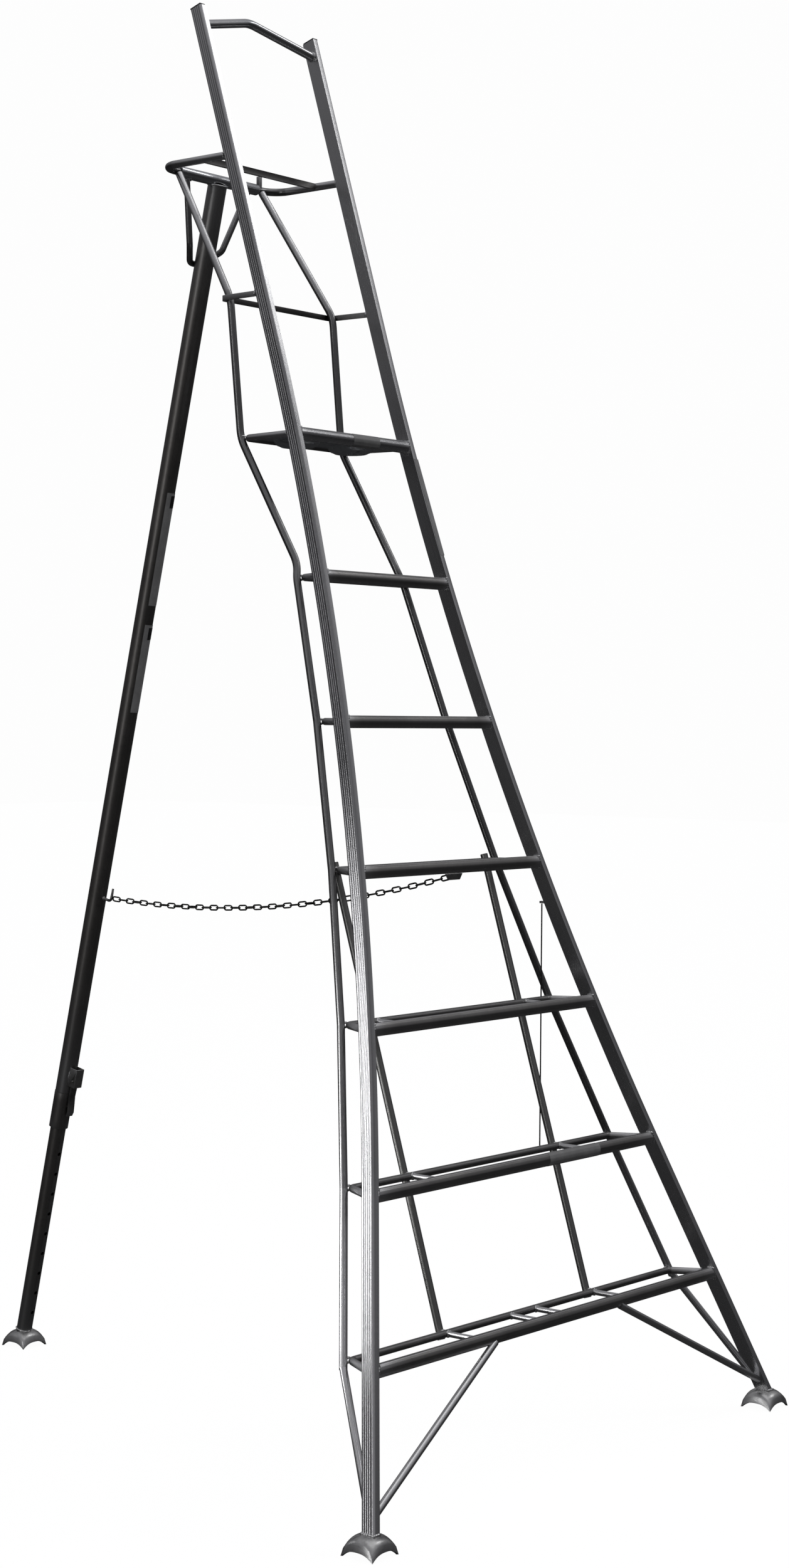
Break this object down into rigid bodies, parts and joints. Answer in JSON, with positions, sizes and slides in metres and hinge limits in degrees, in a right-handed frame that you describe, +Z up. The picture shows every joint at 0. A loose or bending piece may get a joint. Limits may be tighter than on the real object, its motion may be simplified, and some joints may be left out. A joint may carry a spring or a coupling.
{
  "type": "tripod ladder",
  "caption": "Tripod orchard ladder of welded aluminium: two flared stiles, double-bar treads, platform, grab rail and a hinged telescopic rear leg held by a chain.",
  "frame": {"origin": "on the ground, at the middle of the footprint of the three feet", "axes": "+Z up, +X to the climber's right, +Y from the climber towards the rear leg"},
  "size_m": [1.4322, 1.7174, 3.041],
  "materials": {
    "stile": "extruded, fluted outer face, satin with bright rubbed edges",
    "tread": "extruded D bar with a ribbed top, satin",
    "rail": "drawn tube, mill finish",
    "tube": "drawn tube, mill finish, with scattered highlights",
    "polished": "smooth and bright",
    "leg": "drawn tube, dull grey-brown",
    "foot": "cast claw, rubbed bright",
    "steel": "plated steel, dulled",
    "plug": "moulded",
    "cord": "thin braided cord"
  },
  "bodies": {
    "frame": {"left_stile": "stile", "right_stile": "stile", "grab_rail": "stile", "tread_1_bar": "tread", "tread_2_bar": "tread", "tread_3_bar": "tread", "tread_4_bar": "tread", "tread_5_bar": "tread", "tread_6_bar": "tread", "platform_bar": "tread", "head_strip": "tread", "tread_1_rail": "rail", "tread_2_rail": "rail", "tread_3_rail": "rail", "tread_4_rail": "rail", "tread_5_rail": "rail", "tread_6_rail": "rail", "platform_rail": "rail", "waist_brace": "rail", "head_tube": "rail", "sleeve_lug": "rail", "tread_1_cross_left": "rail", "tread_1_cross_mid_left": "rail", "tread_1_cross_mid_right": "rail", "tread_1_cross_right": "rail", "tread_2_cross_left": "rail", "tread_2_cross_right": "rail", "tread_3_cross_left": "rail", "tread_3_cross_right": "rail", "left_rear_tube": "tube", "right_rear_tube": "tube", "left_inner_strut": "tube", "right_inner_strut": "tube", "left_rear_brace": "tube", "right_rear_brace": "tube", "left_front_brace": "tube", "right_front_brace": "tube", "platform_pan": "polished", "left_foot": "foot", "right_foot": "foot", "chain_tab": "steel", "cord_lug": "steel", "left_stile_plug": "plug", "right_stile_plug": "plug", "hanging_cord": "cord"},
    "leg": {"hinge_sleeve": "polished", "leg_tube": "leg", "leg_collar": "leg", "yoke": "rail", "latch_bracket": "steel", "latch_axle": "steel", "chain_hook": "steel"},
    "lower_leg": {"inner_leg": "leg", "rear_foot": "foot"},
    "latch": {"latch_lever": "steel"},
    "front_chain": {"chain_front": "steel"},
    "rear_chain": {"chain_rear": "steel"}
  },
  "joints": [
    {"name": "leg_fold", "type": "hinge", "parent": "frame", "child": "leg", "pos_m": [0, 0.20681, 2.7], "axis": [-1, 0, 0], "range_deg": [0, 28]},
    {"name": "leg_extend", "type": "slide", "parent": "leg", "child": "lower_leg", "axis": [0, 0.225, -0.9744], "range_m": [-0.4, 0.25]},
    {"name": "latch_press", "type": "hinge", "parent": "leg", "child": "latch", "pos_m": [0, 0.64713, 0.65052], "axis": [-1, 0, 0], "range_deg": [0, 12], "stiffness_Nm_per_rad": 0.4, "springref_deg": -5.73},
    {"name": "chain_front_swing", "type": "hinge", "parent": "frame", "child": "front_chain", "pos_m": [0, -0.46203, 1.1795], "axis": [-1, 0, 0], "range_deg": [0, 77.6]},
    {"name": "chain_rear_swing", "type": "hinge", "parent": "leg", "child": "rear_chain", "pos_m": [0, 0.52618, 1.08546], "axis": [1, 0, 0], "range_deg": [0, 99.1]}
  ],
  "couplings": [
    {"joint": "chain_front_swing", "follows": "leg_fold", "ratio": 2.768},
    {"joint": "chain_rear_swing", "follows": "leg_fold", "ratio": 3.536}
  ]
}
